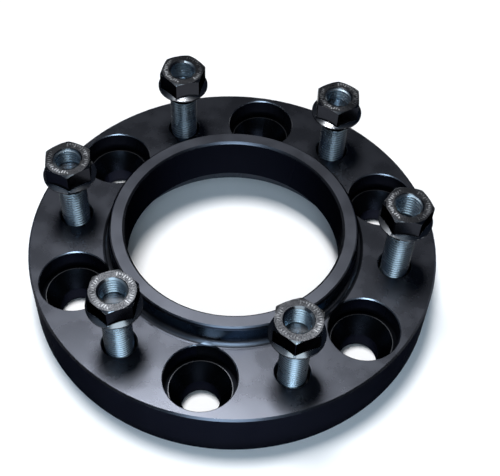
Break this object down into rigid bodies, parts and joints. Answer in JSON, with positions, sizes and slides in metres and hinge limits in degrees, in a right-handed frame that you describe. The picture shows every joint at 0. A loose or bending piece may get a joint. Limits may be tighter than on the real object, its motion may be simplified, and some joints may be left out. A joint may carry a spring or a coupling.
{
  "type": "wheel spacer",
  "caption": "Round black wheel spacer with a centring lip, a hub recess, tapered lug-hole pockets and pressed-in studs that carry flanged nuts.",
  "frame": {"origin": "centre of the face that lies on the hub", "axes": "+Z along the ring's axis, towards the lip and the studs; +X through one stud"},
  "size_m": [0.175, 0.175, 0.0647],
  "materials": {
    "ring": "satin black anodised",
    "stud": "bright zinc plated",
    "nut": "polished black"
  },
  "bodies": {
    "root": {"spacer_ring": "ring", "stud_1": "stud", "stud_2": "stud", "stud_3": "stud", "stud_4": "stud", "stud_5": "stud", "stud_6": "stud", "nut_1": "nut", "nut_2": "nut", "nut_3": "nut", "nut_4": "nut", "nut_5": "nut", "nut_6": "nut"}
  },
  "joints": []
}
